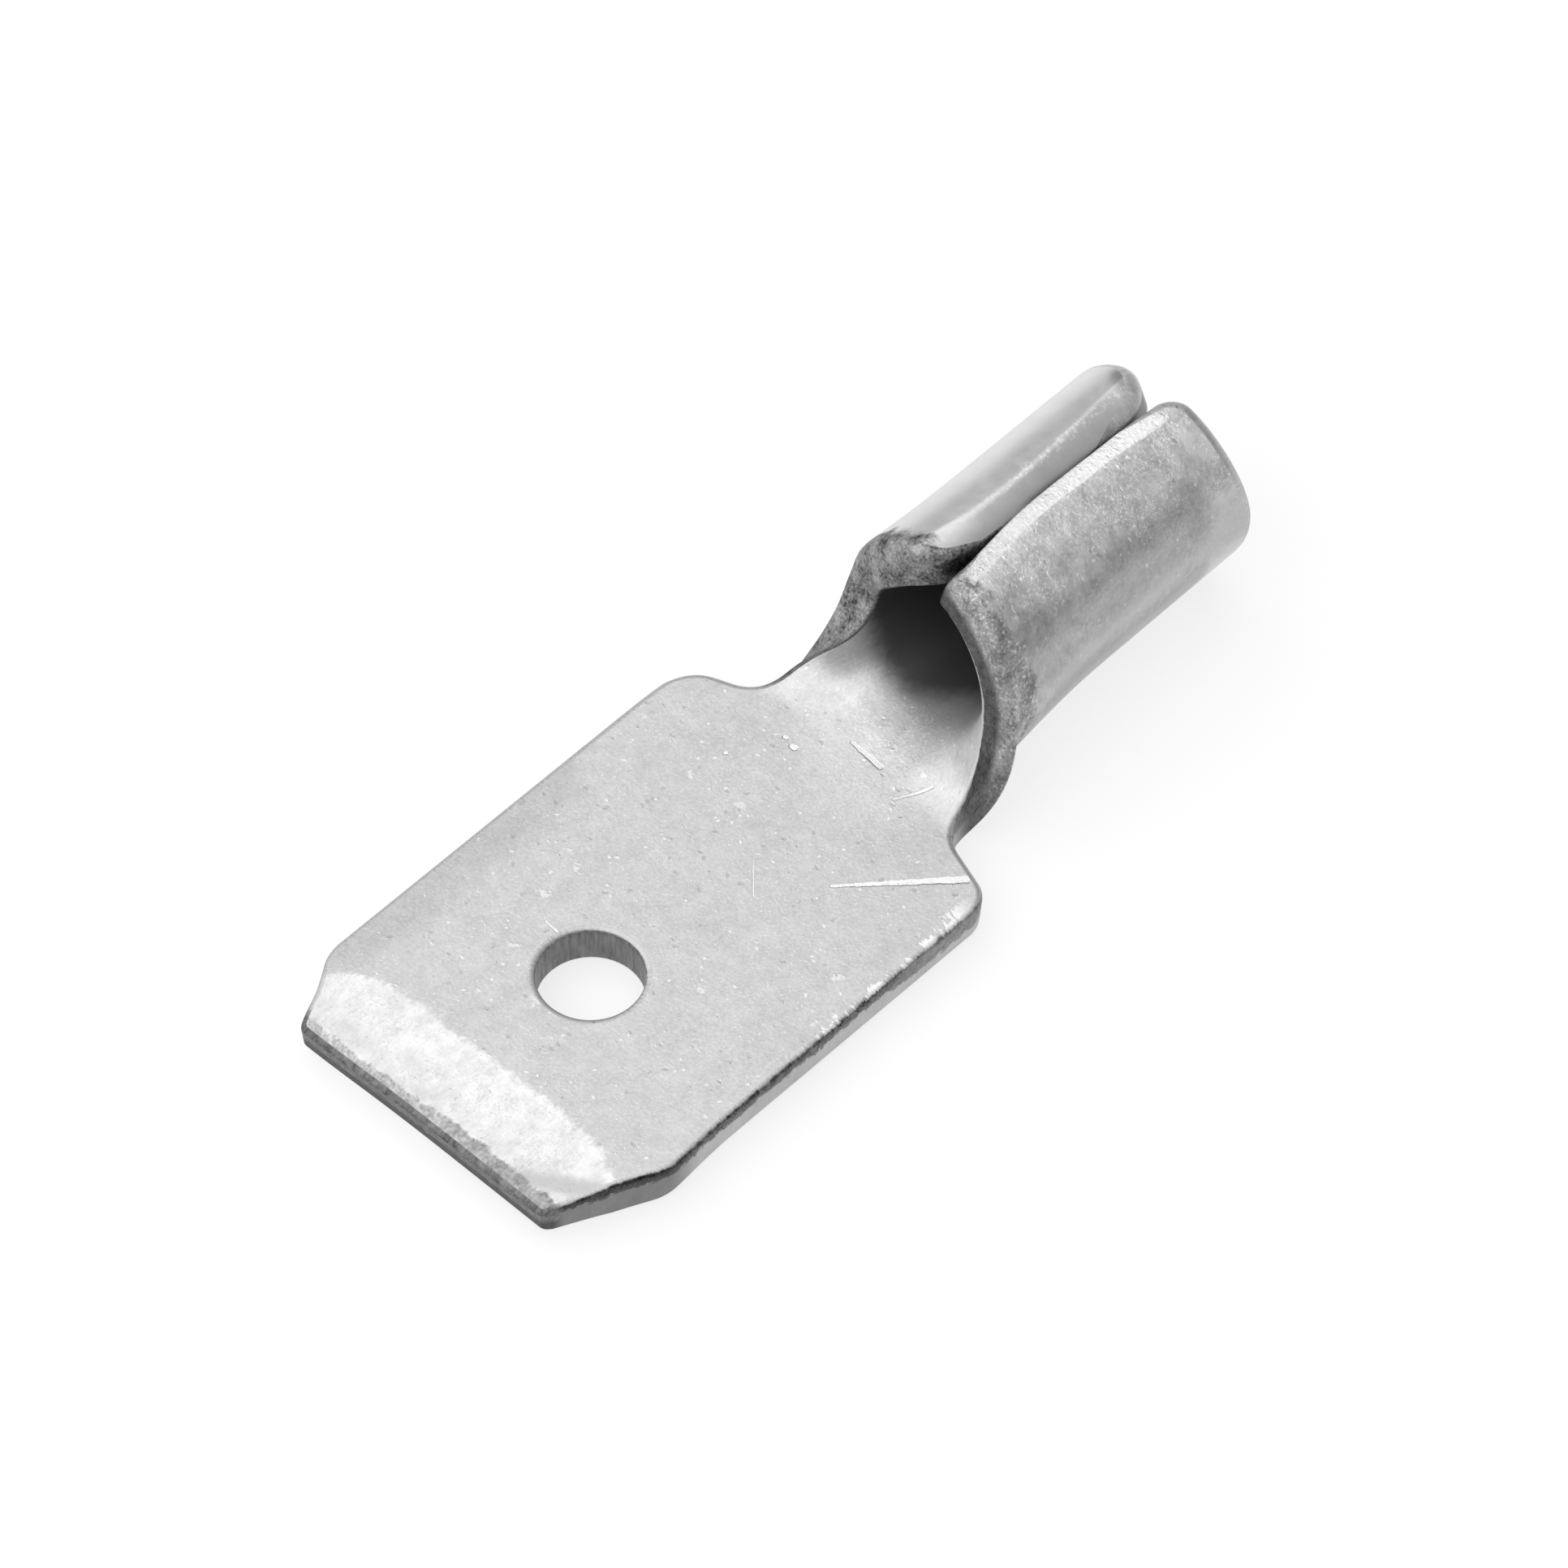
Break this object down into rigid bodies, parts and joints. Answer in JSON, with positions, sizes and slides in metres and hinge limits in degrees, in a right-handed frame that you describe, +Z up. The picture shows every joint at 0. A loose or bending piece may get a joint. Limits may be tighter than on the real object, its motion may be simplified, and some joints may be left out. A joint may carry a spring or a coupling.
{
  "type": "male blade terminal",
  "caption": "Uninsulated crimp terminal folded from one plated sheet: a flat blade with a locking hole and a chamfered tip, a short neck, and an open-ended rolled barrel for a stripped wire.",
  "frame": {"origin": "under the middle of the overall length and of the blade's width, on the plane that the terminal lies on", "axes": "+X from the blade's tip to the barrel's open rear, +Y to the left, +Z up out of the blade's upper face, on the side where the barrel's seam is"},
  "size_m": [0.0158, 0.0064, 0.0035],
  "materials": {
    "tinned_sheet": "tin-plated, dull bright, with fine handling scratches"
  },
  "bodies": {
    "root": {"blade_terminal": "tinned_sheet"}
  },
  "joints": []
}
